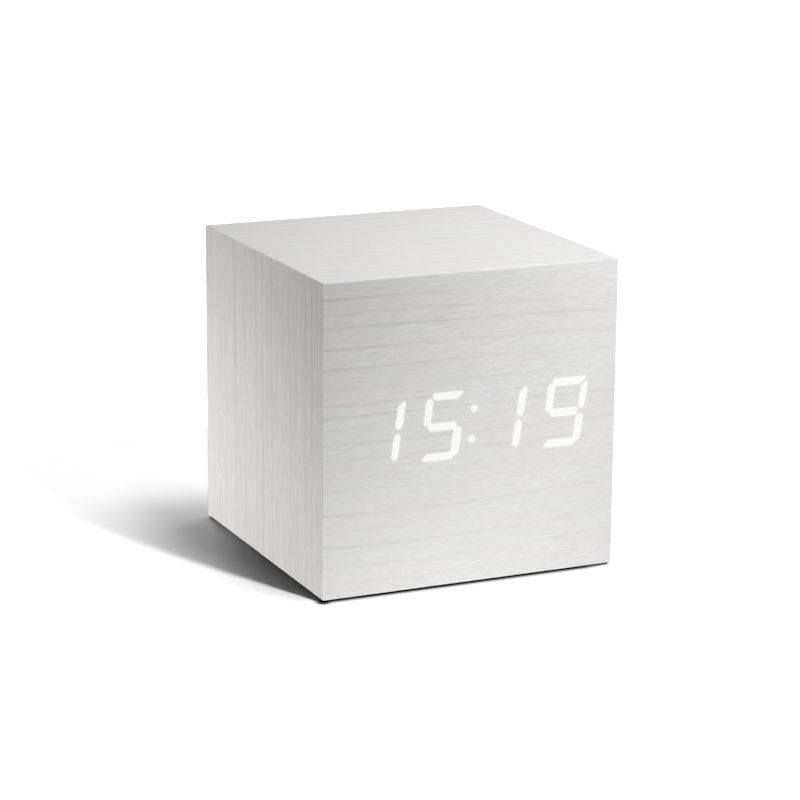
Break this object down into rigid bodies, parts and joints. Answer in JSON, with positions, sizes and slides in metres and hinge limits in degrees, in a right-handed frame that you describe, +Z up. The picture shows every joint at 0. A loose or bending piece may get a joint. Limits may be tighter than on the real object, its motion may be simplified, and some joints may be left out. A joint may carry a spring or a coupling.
{
  "type": "digital alarm clock",
  "caption": "Cube-shaped wood-effect digital alarm clock with a light-through time display, rear buttons and a battery tray in the underside.",
  "frame": {"origin": "centre of the footprint on the plane that the feet stand on", "axes": "+Z up, front (display) face towards -Y, +X to the right as seen from the front"},
  "size_m": [0.068, 0.068, 0.068],
  "materials": {
    "white_wood": "satin white-washed wood-effect foil with fine grain",
    "fibreboard": "raw fibreboard",
    "lit_display": "white light shining through",
    "white_plastic": "matte moulded",
    "circuit_board": "green solder mask",
    "plated_steel": "nickel plated",
    "contact_steel": "nickel plated spring steel",
    "black_plastic": "fine textured moulded",
    "button_plastic": "smooth moulded",
    "chip_epoxy": "moulded epoxy",
    "black_rubber": "matte rubber",
    "cell_sleeve": "shrink sleeve",
    "red_wire": "wire insulation",
    "black_wire": "wire insulation",
    "ribbon_grey": "flat cable"
  },
  "bodies": {
    "clock": {"case_sleeve": "white_wood", "front_veneer": "white_wood", "rear_panel": "white_wood", "front_board": "fibreboard", "display_diffuser": "lit_display", "display_frame": "white_plastic", "display_board": "circuit_board", "control_board": "circuit_board", "main_board": "circuit_board", "display_screw_1": "plated_steel", "display_screw_2": "plated_steel", "plate_screw_1": "plated_steel", "plate_screw_2": "plated_steel", "control_board_screw_1": "plated_steel", "control_board_screw_2": "plated_steel", "tray_screw_1": "plated_steel", "tray_screw_2": "plated_steel", "tray_screw_3": "plated_steel", "tray_screw_4": "plated_steel", "main_board_screw_1": "plated_steel", "main_board_screw_2": "plated_steel", "power_socket": "plated_steel", "sound_switch_body": "plated_steel", "microphone": "plated_steel", "backup_cell": "plated_steel", "clock_crystal": "plated_steel", "contact_negative": "contact_steel", "contact_positive": "contact_steel", "contact_link_front": "contact_steel", "contact_link_rear_1": "contact_steel", "contact_link_rear_2": "contact_steel", "control_plate": "black_plastic", "battery_tray": "black_plastic", "backup_cell_holder": "black_plastic", "buzzer": "black_plastic", "power_socket_tongue": "black_plastic", "set_switch_body": "chip_epoxy", "up_switch_body": "chip_epoxy", "down_switch_body": "chip_epoxy", "microcontroller": "chip_epoxy", "foot_1": "black_rubber", "foot_2": "black_rubber", "foot_3": "black_rubber", "foot_4": "black_rubber", "battery_cell_1": "cell_sleeve", "battery_cell_2": "cell_sleeve", "battery_cell_3": "cell_sleeve", "battery_cell_4": "cell_sleeve", "battery_wire_red": "red_wire", "battery_wire_black": "black_wire", "display_ribbon": "ribbon_grey", "control_ribbon": "ribbon_grey"},
    "set_key": {"set_button": "button_plastic", "set_switch_plunger": "chip_epoxy"},
    "up_key": {"up_button": "button_plastic", "up_switch_plunger": "chip_epoxy"},
    "down_key": {"down_button": "button_plastic", "down_switch_plunger": "chip_epoxy"},
    "sound_slider": {"sound_switch_knob": "button_plastic"},
    "battery_cover": {"battery_lid": "black_plastic"}
  },
  "joints": [
    {"name": "set_press", "type": "slide", "parent": "clock", "child": "set_key", "axis": [0, -1, 0], "range_m": [0, 0.0004], "stiffness_N_per_m": 2000, "springref_m": -0.0003},
    {"name": "up_press", "type": "slide", "parent": "clock", "child": "up_key", "axis": [0, -1, 0], "range_m": [0, 0.0004], "stiffness_N_per_m": 2000, "springref_m": -0.0003},
    {"name": "down_press", "type": "slide", "parent": "clock", "child": "down_key", "axis": [0, -1, 0], "range_m": [0, 0.0004], "stiffness_N_per_m": 2000, "springref_m": -0.0003},
    {"name": "sound_slide", "type": "slide", "parent": "clock", "child": "sound_slider", "axis": [1, 0, 0], "range_m": [0, 0.002]},
    {"name": "lid_slide", "type": "slide", "parent": "clock", "child": "battery_cover", "axis": [0, 1, 0], "range_m": [0, 0.046]}
  ]
}
